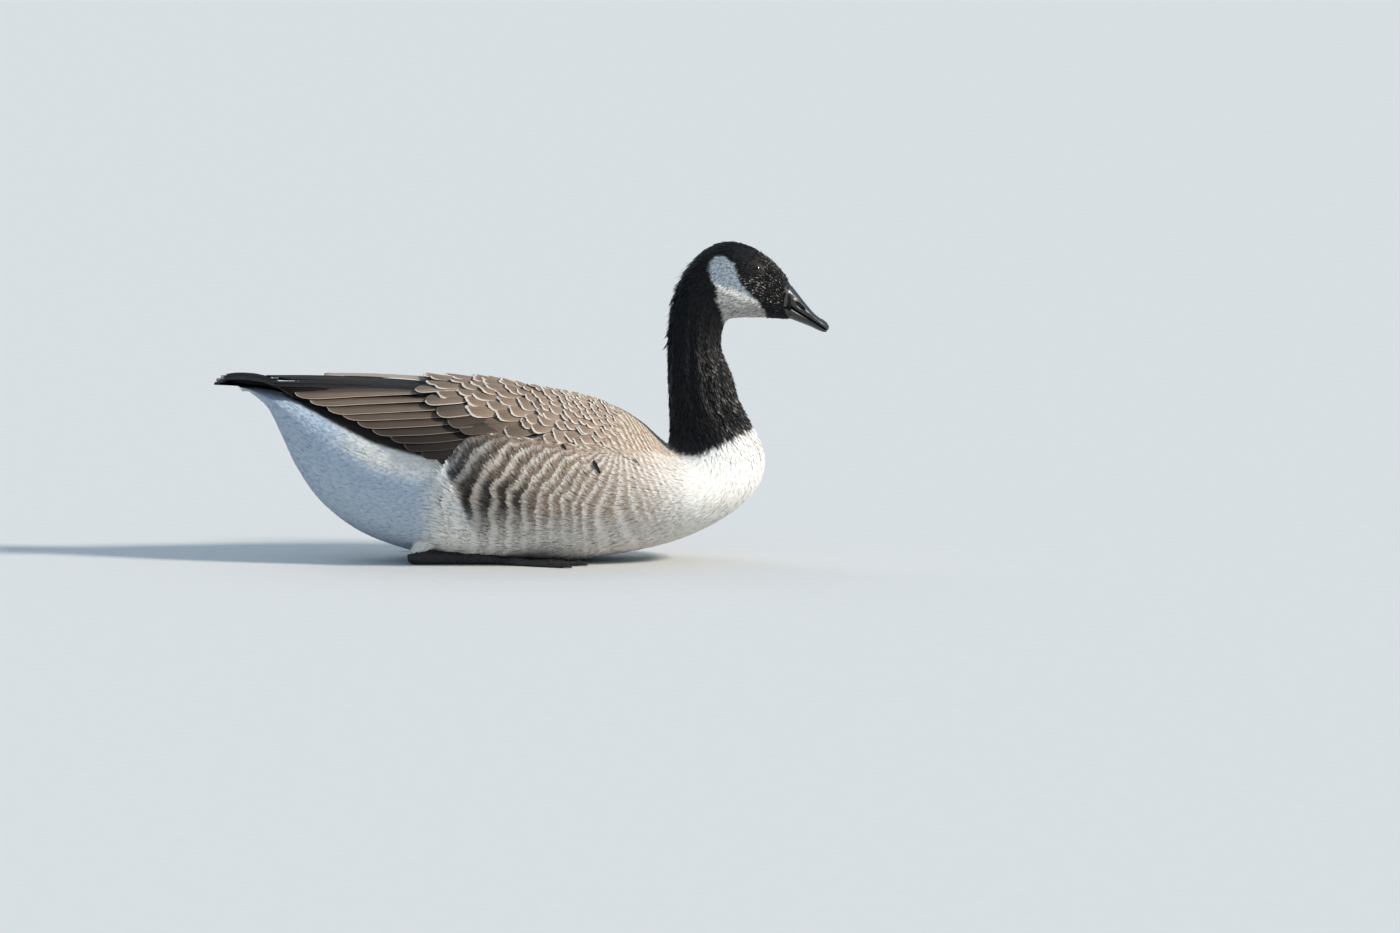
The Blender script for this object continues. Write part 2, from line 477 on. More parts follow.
class Coat:
    """Feathers of one kind, gathered and then made into joined meshes under the triangle limit."""

    def __init__(self, name, material, slot, soft=False):
        self.name, self.material, self.slot, self.soft = name, material, slot, soft
        self.extra = "row" if soft else "fringe"
        self.parts, self.normals = [], []

    def add(self, points_at, size, shape, thickness, look, root_uv, ragged=0.0):
        """points_at maps each feather's own millimetres to places in space. size is (length, width).
        look holds two colours of all feathers, of each or of each of its points, and what mixes them: the
        width of a pale fringe or, on the soft coat, the place within a row of bars."""
        s, outline, t = shape
        length, width = size
        n = len(length)
        rows, columns = len(s), len(t)
        ss = np.broadcast_to(s[None, :, None], (n, rows, columns)).copy()
        tt = np.broadcast_to(t[None, None, :], (n, rows, columns)).copy()
        if columns == 3:
            ss[:, -2:] += rng.normal(0, ragged, (n, 1, 1))
            ss[:, -1, [0, 2]] -= 0.14
            tt[:, 1:, [0, -1]] *= 1 + rng.normal(0, 1.5 * ragged, (n, rows - 1, 2))
        else:
            ss[:, -2:] += rng.normal(0, ragged, (n, 2, columns)) * (1 - 0.5 * np.abs(tt[:, -2:]))
            tt[:, 1:, [0, -1]] *= 1 + rng.normal(0, ragged, (n, rows - 1, 2))
        half = outline[None, :, None] * width[:, None, None] / 2
        across, lengthwise = tt * half, ss * length[:, None, None]
        thick = thickness * (1 - tt ** 2) * np.clip(1.15 - ss, 0, 1)
        top, normals = points_at(lengthwise, across, thick / 2, ss, tt)
        low = points_at(lengthwise, across, -thick / 2, ss, tt)[0][:, 1:-1, 1:-1]
        points = np.concatenate([top.reshape(n, -1, 3), low.reshape(n, -1, 3)], 1)
        rim = np.minimum((1 - np.abs(tt)) * half, (1 - ss) * length[:, None, None])

        def both(a):
            end = a.shape[3:]
            return np.concatenate([a.reshape(n, -1, *end), a[:, 1:-1, 1:-1].reshape(n, -1, *end)], 1)

        faces = vane_faces(rows, columns)
        per = points.shape[1]
        if callable(look):
            look = look(points, both(ss), both(tt))
        *colours, extra = look
        spread = [c if c.ndim == 3 else np.broadcast_to(c.reshape(-1, 1, 3), (n, per, 3)) for c in colours]
        extra = extra if np.ndim(extra) == 2 else np.reshape(extra, (-1, 1))
        values = {"rim": both(np.maximum(rim, 0)), self.extra: np.broadcast_to(extra, (n, per))}
        vane = np.stack([both(across), both(lengthwise)], -1)
        patch = root_uv[:, None, :] + np.stack([both(tt), both(ss)], -1) * 0.0015
        on_rim = np.zeros(per, bool)
        inside = np.zeros((rows - 2, columns - 2), bool)
        on_rim[:rows * columns] = np.pad(inside, 1, constant_values=True).ravel()
        values["on_rim"] = np.broadcast_to(on_rim, (n, per))
        if self.soft:
            tilt = rng.normal(0, 0.07, (n, 1, 3))
            self.normals.append(unit(both(normals) + tilt))
        self.parts.append((points, faces, values, spread, vane, patch))

    def make(self, replaces=()):
        batches, batch, count = [], [], 0
        for number, part in enumerate(self.parts):
            each, start = 2 * len(part[1]), 0
            while start < len(part[0]):
                stop = min(len(part[0]), start + max(1, (MOST_TRIANGLES - count) // each))
                batch.append((number, start, stop))
                count += (stop - start) * each
                start = stop
                if count + each > MOST_TRIANGLES:
                    batches.append(batch)
                    batch, count = [], 0
        if batch:
            batches.append(batch)
        for number, batch in enumerate(batches):
            points, faces, values, colours, vanes, patches, normals = [], [], {}, [[], []], [], [], []
            offset = 0
            for which, start, stop in batch:
                part = self.parts[which]
                p = part[0][start:stop]
                per = p.shape[1]
                points.append(p.reshape(-1, 3))
                shift = offset + np.arange(stop - start)[:, None, None] * per
                faces.append((part[1][None] + shift).reshape(-1, 4))
                offset += len(p) * per
                for key, value in part[2].items():
                    values.setdefault(key, []).append(value[start:stop].ravel())
                for k in range(2):
                    colours[k].append(part[3][k][start:stop].reshape(-1, 3))
                vanes.append(part[4][start:stop].reshape(-1, 2))
                patches.append(part[5][start:stop].reshape(-1, 2))
                if self.soft:
                    way = np.repeat([1, -1], len(part[1]) // 2)[None, :, None, None]
                    normals.append((self.normals[which][start:stop][:, part[1]] * way).reshape(-1, 3))
            values = {key: np.concatenate(value) for key, value in values.items()}
            rim = values.pop("on_rim")
            piece = new_mesh(
                self.name if len(batches) == 1 else f"{self.name}_{number + 1}",
                np.concatenate(points), np.concatenate(faces), values,
                {"tint": np.concatenate(colours[0]), "edge": np.concatenate(colours[1])},
                {"OFBake": np.concatenate(patches), "Vane": np.concatenate(vanes)},
                np.concatenate(normals) if self.soft else None, None if self.soft else rim,
            )
            finish_piece(piece, self.material, replaces if number == 0 else ())


# Materials


class Nodes:
    """Short ways to add shader nodes to one material."""

    def __init__(self, name):
        self.material = bpy.data.materials.new(name)
        self.material.use_nodes = True
        self.tree = self.material.node_tree
        self.tree.nodes.clear()
        self.out = self.tree.nodes.new("ShaderNodeOutputMaterial")
        self.shader = self.tree.nodes.new("ShaderNodeBsdfPrincipled")
        self.link(self.shader.outputs[0], self.out.inputs[0])

    def link(self, a, b):
        self.tree.links.new(a, b)

    def put(self, socket, value):
        if isinstance(value, bpy.types.NodeSocket):
            self.link(value, socket)
        elif value is not None:
            socket.default_value = value

    def math(self, kind, a, b=None, c=None):
        node = self.tree.nodes.new("ShaderNodeMath")
        node.operation = kind
        for socket, value in zip(node.inputs, (a, b, c)):
            self.put(socket, value)
        return node.outputs[0]

    def ramp(self, value, low, high, to_low=0.0, to_high=1.0):
        node = self.tree.nodes.new("ShaderNodeMapRange")
        node.interpolation_type = "SMOOTHSTEP"
        for socket, v in zip(node.inputs, (value, low, high, to_low, to_high)):
            self.put(socket, v)
        return node.outputs[0]

    def mix(self, share, a, b, kind="MIX"):
        """Colours a and b, as sockets or as three linear values, mixed by a share."""
        a, b = (c if isinstance(c, bpy.types.NodeSocket) else (*c, 1) for c in (a, b))
        node = self.tree.nodes.new("ShaderNodeMix")
        node.data_type = "RGBA"
        node.blend_type = kind
        self.put(node.inputs[0], share)
        self.put(node.inputs[6], a)
        self.put(node.inputs[7], b)
        return node.outputs[2]

    def dim(self, colour, tone):
        """A colour times a grey tone."""
        grey = self.tree.nodes.new("ShaderNodeCombineColor")
        for socket in grey.inputs:
            self.link(tone, socket)
        return self.mix(1.0, colour, grey.outputs[0], "MULTIPLY")

    def attribute(self, name, output="Fac"):
        node = self.tree.nodes.new("ShaderNodeAttribute")
        node.attribute_name = name
        return node.outputs[output]

    def place(self):
        return self.tree.nodes.new("ShaderNodeTexCoord").outputs["Object"]

    def noise(self, scale, vector=None, detail=2.0):
        node = self.tree.nodes.new("ShaderNodeTexNoise")
        self.put(node.inputs["Vector"], vector if vector is not None else self.place())
        node.inputs["Scale"].default_value = scale
        node.inputs["Detail"].default_value = detail
        node.inputs["Roughness"].default_value = 0.5
        return node.outputs["Fac"]

    def bump(self, height, strength, distance):
        node = self.tree.nodes.new("ShaderNodeBump")
        node.inputs["Strength"].default_value = strength
        node.inputs["Distance"].default_value = distance
        self.put(node.inputs["Height"], height)
        self.link(node.outputs[0], self.shader.inputs["Normal"])

    def shine(self, roughness, specular=0.5, sheen=0.0, coat=0.0):
        self.put(self.shader.inputs["Roughness"], roughness)
        for name, value in (("Specular IOR Level", specular), ("Sheen Weight", sheen),
                            ("Sheen Roughness", 0.5), ("Coat Weight", coat), ("Coat Roughness", 0.1)):
            self.shader.inputs[name].default_value = value

    def colour(self, value):
        self.put(self.shader.inputs["Base Color"], value)


def plumage_material(name, roughness, specular, sheen, barb=0.9, shaft=0.0, depth=0.00007, slant=0.85,
                     barred=False):
    """Feather vanes: the middle's colour, a pale fringe or bars, and barbs that slant out from the shaft.
    barb is the pitch of the barbs in millimetres, and shaft the darkness of the shaft's line."""
    m = Nodes(name)
    uv = m.tree.nodes.new("ShaderNodeUVMap")
    uv.uv_map = "Vane"
    split = m.tree.nodes.new("ShaderNodeSeparateXYZ")
    m.link(uv.outputs[0], split.inputs[0])
    side = m.math("ABSOLUTE", split.outputs[0])
    rough_noise = m.noise(900.0)
    if slant:
        run = m.math("SUBTRACT", split.outputs[1], m.math("MULTIPLY", side, slant))
        uneven = m.math("MULTIPLY_ADD", rough_noise, 0.9, run)
    else:
        uneven = m.math("MULTIPLY_ADD", m.noise(260.0), 2.2, split.outputs[0])
    wave = m.math("SINE", m.math("MULTIPLY", uneven, TURN / barb))
    rim = m.math("MULTIPLY_ADD", m.math("SUBTRACT", rough_noise, 0.5), 0.5, m.attribute("rim"))
    fringe = m.attribute("fringe")
    edge = m.ramp(rim, m.math("MULTIPLY", fringe, 0.5), m.math("MULTIPLY", fringe, 1.3), 1.0, 0.0)
    if barred:
        row = m.math("MULTIPLY_ADD", m.math("SUBTRACT", m.noise(500.0), 0.5), 0.10, m.attribute("row"))
        row = m.math("FRACT", m.math("MULTIPLY_ADD", wave, 0.03, row))
        edge = m.math("MAXIMUM", m.ramp(row, 0.34, 0.90), m.ramp(row, 0.0, 0.10, 1.0, 0.0))
    colour = m.mix(edge, m.attribute("tint", "Color"), m.attribute("edge", "Color"))
    if shaft:
        colour = m.mix(m.ramp(side, 0.12, 0.5, shaft, 0.0), colour, (0.02, 0.014, 0.01))
    tone = m.math("MULTIPLY_ADD", wave, 0.13 if barred else 0.07, 1.0)
    patches = 0.10 if barred else 0.24
    tone = m.math("MULTIPLY", tone, m.math("MULTIPLY_ADD", m.noise(60.0), patches, 1 - patches / 2))
    m.colour(m.dim(colour, tone))
    m.shine(roughness, specular, sheen)
    m.bump(m.math("ADD", wave, m.math("MULTIPLY", rough_noise, 1.2)), 0.6, depth)
    return m.material


def skin_material():
    """Down on the skin, in the plumage's own colours and a little uneven."""
    m = Nodes("skin_down")
    fine = m.noise(1400.0, detail=4.0)
    m.colour(m.dim(m.attribute("tint", "Color"), m.ramp(fine, 0.3, 0.7, 0.78, 1.0)))
    m.shine(0.85, 0.2, 0.2)
    m.bump(fine, 0.6, 0.0004)
    return m.material


def plain_material(name, colour, roughness, specular=0.5, coat=0.0, grain=300.0, depth=0.0002, spread=0.2,
                   stretch=None):
    """Horn, skin or floor: one colour that varies softly, with a fine grain in its bump and gloss."""
    m = Nodes(name)
    vector = m.place()
    if stretch:
        mapping = m.tree.nodes.new("ShaderNodeMapping")
        mapping.inputs["Scale"].default_value = stretch
        m.link(vector, mapping.inputs[0])
        vector = mapping.outputs[0]
    cloud = m.noise(60.0, vector, 3.0)
    fine = m.noise(grain, vector, 4.0)
    m.colour(m.mix(cloud, colour * (1 - spread), np.minimum(colour * (1 + spread), 1)))
    m.shine(m.ramp(fine, 0.25, 0.75, roughness * 0.8, min(1, roughness * 1.25)), specular, coat=coat)
    m.bump(fine, 0.5, depth)
    return m.material


# Camera, floor and lights


def set_stage():
    scene = bpy.context.scene
    camera = bpy.data.objects.new("camera", bpy.data.cameras.new("camera"))
    scene.collection.objects.link(camera)
    camera.data.lens = 400
    camera.data.sensor_width = 36
    camera.data.clip_end = 200
    # The photo is 1400 pixels wide, at 1 mm a pixel, and looks down on the bird by about 5 degrees.
    frame_width, elevation = 1.4, math.radians(5)
    distance = frame_width * camera.data.lens / camera.data.sensor_width
    target = np.array([0.1785, 0, 0.0935])
    back = np.array([0, -math.cos(elevation), math.sin(elevation)])
    camera.location = target + back * distance
    camera.rotation_euler = (math.pi / 2 - elevation, 0, 0)
    scene.camera = camera

    half_floor = 60
    corners = np.array([[-1, -1, 0], [1, -1, 0], [1, 1, 0], [-1, 1, 0]]) * half_floor / MM
    floor = new_mesh("floor", corners, [[0, 1, 2, 3]])
    floor.location.z = -0.0002
    paint = plain_material("floor_paint", linear(0.80, 0.80, 0.79), 0.8, 0.2, spread=0.02, grain=40.0)
    floor.data.materials.append(paint)

    world = bpy.data.worlds.new("studio")
    scene.world = world
    world.use_nodes = True
    background = world.node_tree.nodes["Background"]
    background.inputs[0].default_value = (0.60, 0.79, 1.0, 1)
    background.inputs[1].default_value = 0.62

    for name, way, power, angle, colour in (
        ("key", (0.82, -0.36, 0.58), 3.9, 10, (1.0, 0.93, 0.84)),
        ("rim", (-0.35, 0.75, 0.75), 0.5, 40, (0.92, 0.96, 1.0)),
    ):
        lamp = bpy.data.objects.new(name, bpy.data.lights.new(name, "SUN"))
        lamp.data.energy = power
        lamp.data.angle = math.radians(angle)
        lamp.data.color = colour
        x, y, z = way
        lamp.location = np.array(way) * 3
        lamp.rotation_euler = (math.atan2(math.hypot(x, y), z), 0, math.atan2(x, -y))
        scene.collection.objects.link(lamp)
    scene.view_settings.view_transform = "Standard"


set_stage()


# Skin


def coat_depth(v):
    """How far the skin lies inside the solids' surface, in millimetres."""
    return np.interp(v, [0, 1, 4, 19, 22, 27, body.last], [1.0, 1.5, 1.6, 1.6, 1.1, 0.6, 0.3])


def make_skin():
    v, angle = ring_places(np.linspace(0, body.last, body.last * 9 + 1), 128)
    flat = body.at(v, angle, -coat_depth(v)).reshape(-1, 3)
    uv = np.stack([v.ravel() / body.last, angle.ravel() / TURN], -1)
    tint = mix(*plumage(flat), 0.4) * 0.9
    piece = new_mesh("skin", flat, ring_quads(*v.shape), colours={"tint": tint}, uvs={"OFBake": uv})
    finish_piece(piece, skin_material(), ("torso", "neck_lower", "neck_upper", "head"))


def make_wing_base():
    """The flesh of the folded wings, under their feathers."""
    start = 3.8
    v, angle = ring_places(np.linspace(start, wing.last, 121), 128)
    flat = wing.at(v, angle, -6.0).reshape(-1, 3)
    quads = ring_quads(*v.shape)
    quads = quads[from_outline(flat[quads].mean(1), WING_OUTLINE) < -4]
    uv = np.stack([(v.ravel() - start) / (wing.last - start), angle.ravel() / TURN], -1)
    tint = np.broadcast_to(DARK_BROWN, flat.shape)
    piece = new_mesh("wing_flesh", flat, quads, colours={"tint": tint}, uvs={"OFBake": uv})
    finish_piece(piece, bpy.data.materials["skin_down"])


make_skin()
make_wing_base()

# Body, neck and head coat


def cover(form, v_low, v_high, spacing_at, tries=7, keep=None):
    """Places on a form kept apart by a spacing, in millimetres, that depends on the place v."""
    rows = (form.v >= v_low) & (form.v <= v_high)
    area = (form.per_v * form.per_angle)[rows][:, :-1]
    v_step, a_step = form.v[1] - form.v[0], TURN / form.turns
    spacing = spacing_at(form.v[rows])
    weight = area.sum(1) / spacing ** 2
    total = int((weight * v_step * a_step).sum() * tries)
    v = np.interp(rng.random(total), np.cumsum(weight) / weight.sum(), form.v[rows])
    angle = rng.random(total) * TURN
    dense = form.read(form.per_v * form.per_angle, v, angle)
    top = np.interp(v, form.v[rows], area.max(1))
    chosen = rng.random(total) < dense / top
    v, angle = v[chosen], angle[chosen]
    points, gap = form.at(v, angle), spacing_at(v)
    if keep is not None:
        good = keep(v, angle, points)
        v, angle, points, gap = v[good], angle[good], points[good], gap[good]
    cell = spacing.max()
    keys = np.floor(points / cell).astype(int)
    kept, found = {}, []
    near = [(i, j, k) for i in (-1, 0, 1) for j in (-1, 0, 1) for k in (-1, 0, 1)]
    for n, ((x, y, z), (a, b, c), g) in enumerate(zip(points.tolist(), keys.tolist(), (gap ** 2).tolist())):
        neighbours = (q for i, j, k in near for q in kept.get((a + i, b + j, c + k), ()))
        if all((x - q[0]) ** 2 + (y - q[1]) ** 2 + (z - q[2]) ** 2 >= g for q in neighbours):
            kept.setdefault((a, b, c), []).append((x, y, z))
            found.append(n)
    return v[found], angle[found], points[found]


def on_form(form, v, angle, side, turn, length, lifts, camber, cant, extra=None):
    """Maps each feather's own millimetres onto a form, running back from its root and turned down by an
    angle, with lifts of root and tip. side, lifts, camber and cant are one number or one for each feather."""
    middle = np.clip(v - 0.5 * length * np.cos(turn) / form.read(form.per_v, v, angle), 0, form.last)
    per_v = np.maximum(form.read(form.per_v, middle, angle), 1e-3)
    per_angle = np.maximum(form.read(form.per_angle, middle, angle), 3.0)
    c, s = np.cos(turn), np.sin(turn)

    def wide(a):
        return np.reshape(a, (-1, 1, 1))

    def points_at(x, y, lift, ss, tt):
        back = -wide(c) * x + wide(side * s) * y
        turned = wide(side * s) * x + wide(c) * y
        vv = wide(v) + back / wide(per_v)
        aa = wide(angle) + turned / wide(per_angle)
        rise = (wide(lifts[0]) + wide(lifts[1] - lifts[0]) * ss ** 1.1 - wide(camber) * tt ** 2
                + wide(cant) * tt * wide(side))
        if extra is not None:
            rise = rise + extra(vv, aa)
        over = np.minimum(vv, 0)
        points = form.at(np.maximum(vv, 0), aa, lift + rise)
        points[..., 0] += over * wide(per_v)
        points[..., 2] = np.maximum(points[..., 2], 0)
        return points, form.read(form.normals, np.maximum(vv, 0), aa)

    return points_at


def jitter(n, amount):
    return 1 + rng.normal(0, amount, n)


def unwrap(v, angle, low, high):
    """Where roots lie on a flat map of their form between two sections, in the shares of a UV map."""
    shares = np.stack([np.clip((v - low) / (high - low), 0, 1), np.mod(angle, TURN) / TURN], -1)
    return shares * 0.98 + 0.01


def run_and_depth(v, angle):
    """The run along the body's side and the distance down from its back, at places on the body."""
    angle = np.mod(angle, TURN)
    folded = np.where(angle > math.pi, TURN - angle, angle)
    depth = between(body.down, np.clip(v, 0, body.last) * body.per_row, folded / math.pi * (body.turns // 2))
    return np.interp(v, body.v, body.run), depth


body_soft = plumage_material("body_feathers", 0.8, 0.2, 0.15, depth=0.00003, slant=0, barred=True)
wing_vanes = plumage_material("wing_feathers", 0.7, 0.15, 0.03, barb=0.7, shaft=0.4)
black_soft = plumage_material("black_feathers", 0.5, 0.18, 0.02, barb=0.8, depth=0.00003, slant=0)
black_vanes = plumage_material("tail_vanes", 0.7, 0.12, 0.0, barb=0.7, shaft=0.5)


def relief(v):
    """How far feather tips stand out from the body, largest on the flanks and mantle."""
    x = np.interp(v, body.v, body.run)
    return np.interp(x, [-300, -90, -70, -45, 60, 140, 190], [0.4, 0.5, 1.5, 1.6, 1.1, 0.7, 0.25])


def under_flank_edge(points):
    """Distance of places below the upper and rear edge of the flank feathers, seen from the side."""
    return line_at(FLANK_EDGE, points[..., 0]) - points[..., 2]


def over_wing(points):
    """How far the flank stands out where it lies over the lower edge of the wing."""
    x, low = points[..., 0], under_flank_edge(points)
    rear = smooth(0, -40, x)
    reach = smooth(0, 1, (32 + 14 * rear - low) / 22)
    return (4.8 + 2.2 * rear) * reach * smooth(-5, 0, low) * smooth(-84, -76, x) * smooth(125, 50, x)


def lift_over_wing(v, angle):
    return over_wing(body.at(v, angle))


def from_back(angle):
    """How far angles are turned from the back, on either side."""
    return np.abs(np.mod(angle + math.pi, TURN) - math.pi)


def make_body_coat():
    coat = Coat("coat_body", body_soft, "pale_plumage", soft=True)

    def in_view(v, angle, points):
        flank = points[:, 2] < line_at(FLANK_TOP, points[:, 0])
        return flank | (from_outline(points, WING_OUTLINE) > np.interp(points[:, 0], [20, 50], [-1.5, -7]))

    def spacing(v):
        return np.interp(v, [0, 5, 7, 12, NECK_BASE], [2.6, 2.4, 1.85, 1.95, 2.0])

    v, angle, root = cover(body, 0.12, NECK_BASE + 0.15, spacing, keep=in_view)
    x = root[:, 0]
    side = np.where(np.sin(angle) >= 0, 1.0, -1.0)
    u, h = run_and_depth(v, angle)
    step = 1.5
    row = rows_at(u, h) + 0.16 * wobble(root, 13.0, 5.0)
    n = len(v)
    d = h - np.interp(u, body.run, body_top)
    flank = smooth(-88, -72, x) * smooth(110, 40, x) * smooth(-1, 2, d)
    up = 0.10 + 0.78 * smooth(1, 13, d) * (1 - 0.5 * smooth(22, 70, d))
    turn = -up * flank + 0.12 * smooth(90, 140, x) * smooth(-1, 2, d) + rng.normal(0, 0.09, n)
    along_u = (rows_at(u + step, h) - rows_at(u - step, h)) / (2 * step)
    along_h = (rows_at(u, h + step) - rows_at(u, h - step)) / (2 * step)
    back_step = along_h * np.sin(turn) - along_u * np.cos(turn)
    side_step = side * (along_u * np.sin(turn) + along_h * np.cos(turn))
    steep = np.maximum(back_step, 0.02)
    quiet = np.maximum(smooth(-74, -90, x), smooth(140, 175, x))
    banded = smooth(-86, -72, x) * smooth(185, 150, x)
    # Tips end at the rows' edges, so the place within a row settles how long a tuft is.
    place = row - np.floor(row)
    place = np.where(place > 0.75, place - 0.4, place)
    reach = (1.08 + np.abs(rng.normal(0, 0.12, n)) - place) / steep
    length = np.where(banded > 0.3, np.clip(reach, 12, 21), 18) * jitter(n, 0.06)
    length = length * np.interp(v, [0, 1.5], [0.5, 1])
    width = np.interp(u, [-90, -70, 60, 170], [4.0, 2.4, 2.4, 2.8]) * jitter(n, 0.15)
    tall = relief(v)
    ends = np.clip(place + length * steep, 0, 1.05)
    rise = tall * ends * 0.8 + np.abs(rng.normal(0, 0.16, n)) * (1 - 0.6 * quiet)
    lifts = (tall * place - 1.7, rise - 0.4)
    wild = rng.normal(0, 0.35, n)
    in_flank = (under_flank_edge(root) > 0) & (x > -76)

    def look(points, ss, tt):
        # Flank feathers keep the flank's colours where they lie over the wing.
        seen = points.copy()
        lowered = np.minimum(seen[..., 2], line_at(WING_EDGE, points[..., 0]) - 3)
        seen[..., 2] = np.where(in_flank[:, None], lowered, seen[..., 2])
        dark, pale = plumage(seen, wild[:, None])
        shade = (1 + (0.03 + 0.06 * flank) * rng.normal(0, 1, n))[:, None, None]
        shade = shade * (0.93 + 0.07 * ss)[..., None]
        rim = 0.8 * smooth(6, 1, under_flank_edge(points)) * in_flank[:, None]
        pale = mix(pale, dark * 1.3, rim)
        bars = (row + 0.05 * rng.normal(0, 1, n))[:, None]
        bars = bars + ss * (length * back_step)[:, None] + tt * (width / 2 * side_step)[:, None]
        return dark * shade, pale * shade, bars - np.floor(bars.min(1, keepdims=True))

    points_at = on_form(body, v, angle, side, turn, length, lifts, 0.35,
                        rng.normal(0, 0.1, n) * (1 - 0.5 * quiet), lift_over_wing)
    coat.add(points_at, (length, width), TUFT, 0.18, look, unwrap(v, angle, 0, 16), ragged=0.05)
    coat.make()


def neck_furrow(v, angle):
    """Long furrows down the neck, deepest at its sides."""
    strength = smooth(15.5, 17.0, v) * smooth(22.0, 19.5, v)
    return strength * np.sin(13 * angle + 0.8 * np.sin(v * 1.7) + 0.5 * v) * 0.7


def nape(v, angle, low, high):
    """Share of the loose feathers down the back of the head and neck."""
    return smooth(0.95, 0.25, from_back(angle)) * smooth(low, low + 0.8, v) * smooth(high + 0.8, high, v)


def speckled(v, angle, points):
    """Share of curled feathers with pale glints: the face in front of the eye, and the front of the neck."""
    face = smooth(1.5, -1.5, from_outline(points, FACE) + 1.5 * wobble(points, 4.0, 8.0))
    neck = smooth(15.4, 16.4, v) * smooth(20.2, 18.2, v) * smooth(1.5, 2.1, from_back(angle))
    return np.maximum(face, neck)


def to_eye(points):
    """Distance of places from the middle of the nearer eye."""
    return np.linalg.norm(np.abs(points * [0, 1, 0]) + points * [1, 0, 1] - EYE_CENTRE, axis=-1)


def make_fine_coat(name, low, high, at, spacings, sizes, widths, roots, spread, loose, thickness, glow,
                   uv_span, keep=None):
    """Small tufts of the neck or head. Their spacing, length, width and depth of root are each read at the
    three places called at. spread is how far tips stand out, and loose how much more down the nape."""
    coat = Coat(name, black_soft, "black_plumage")
    v, angle, root = cover(body, low, high, lambda v: np.interp(v, at, spacings), keep=keep)
    n = len(v)
    side = np.where(np.sin(angle) >= 0, 1.0, -1.0)
    curled = speckled(v, angle, root) * smooth(10.5, 14.0, to_eye(root))
    free = nape(v, angle, 18.6, 22.3)
    length = np.interp(v, at, sizes) * jitter(n, 0.14) * (1 - 0.25 * curled + 0.25 * free)
    width = np.interp(v, at, widths) * jitter(n, 0.14) * (1 - 0.2 * curled)
    tips = spread + rng.normal(0, 0.25, n) + free * np.abs(rng.normal(0, loose, n))
    tips = tips + curled * np.abs(rng.normal(0, 0.5, n))
    lifts = (-np.interp(v, at, roots), tips)
    glint = np.clip(rng.normal(0.15, 0.9, n), 0, 1.2) * curled
    wild = rng.normal(0, 0.5, n)

    def look(points, ss, tt):
        tint = plumage(points, wild[:, None])[0]
        light = (glint[:, None] * smooth(0.55, 0.9, ss))[..., None] * glow
        tint = tint * (1 + 0.08 * rng.normal(0, 1, n))[:, None, None] + light * linear(0.62, 0.59, 0.56)
        return tint, tint, 0.01

    points_at = on_form(body, v, angle, side, rng.normal(0, 0.12, n) * (1 + 1.6 * curled), length, lifts,
                        0.08 * widths[0], rng.normal(0, 0.12, n), neck_furrow)
    coat.add(points_at, (length, width), TUFT, thickness, look, unwrap(v, angle, *uv_span), ragged=0.06)
    coat.make()


# Side outline of the bill's base, which the feathers of the face leave free.
HORN_BACK = np.array([
    [272.0, 278.0], [266.0, 280.5], [260.6, 279.0], [264.6, 271.0], [262.4, 264.0], [261.6, 258.0],
    [264.0, 251.0], [268.0, 241.0], [272.0, 236.0],
])


def clear_of_eye_and_bill(v, angle, root):
    return (to_eye(root) > 9.7) & (from_outline(root, HORN_BACK) > -0.3)


make_body_coat()
make_fine_coat("coat_neck", 15.05, 21.2, [15, 17, 21], [2.4, 2.2, 1.9], [15, 12, 9], [3.3, 3.0, 2.5],
               [1.9, 1.8, 1.5], spread=0.35, loose=1.9, thickness=0.25, glow=0.55, uv_span=(15, 21.5))
make_fine_coat("coat_head", 20.9, 27.98, [21, 25, 28], [1.9, 1.5, 1.2], [8, 5.4, 3.4], [2.4, 1.75, 1.35],
               [1.2, 0.8, 0.4], spread=0.22, loose=2.4, thickness=0.18, glow=1, uv_span=(20.5, 28),
               keep=clear_of_eye_and_bill)


# Wing feathers


def find_angle(form, x, axis, value):
    """Place v and angle on the left side where the form has the wanted x and height z or side y."""
    low, high = np.full(len(x), 0.01), np.full(len(x), 2.6 if axis == "z" else math.pi / 2)
    for _ in range(26):
        angle = (low + high) / 2
        v_low, v_high = np.zeros(len(x)), np.full(len(x), float(form.last))
        for _ in range(18):
            v = (v_low + v_high) / 2
            less = form.at(v, angle)[:, 0] < x
            v_low, v_high = np.where(less, v, v_low), np.where(less, v_high, v)
        point = form.at(v, angle)
        before = point[:, 2] > value if axis == "z" else point[:, 1] < value
        low, high = np.where(before, angle, low), np.where(before, high, angle)
    return v, angle


FLIGHT = (np.array([0, 0.08, 0.2, 0.35, 0.5, 0.63, 0.75, 0.85, 0.92, 0.965, 0.99, 1.0]),
          np.array([0.55, 0.66, 0.8, 0.92, 1.0, 1.0, 0.98, 0.93, 0.82, 0.64, 0.42, 0.2]),
          np.array([-1, -0.9, -0.5, -0.08, 0, 0.08, 0.5, 0.9, 1]))
POINTED = (FLIGHT[0],
           np.array([0.7, 0.8, 0.92, 1.0, 0.98, 0.93, 0.85, 0.72, 0.56, 0.4, 0.26, 0.12]), FLIGHT[2])


def vane_section(tt):
    """Height across a long feather: arched, with a raised shaft."""
    return np.where(np.abs(tt) < 0.05, 0.35, 0) - 0.5 * tt ** 2


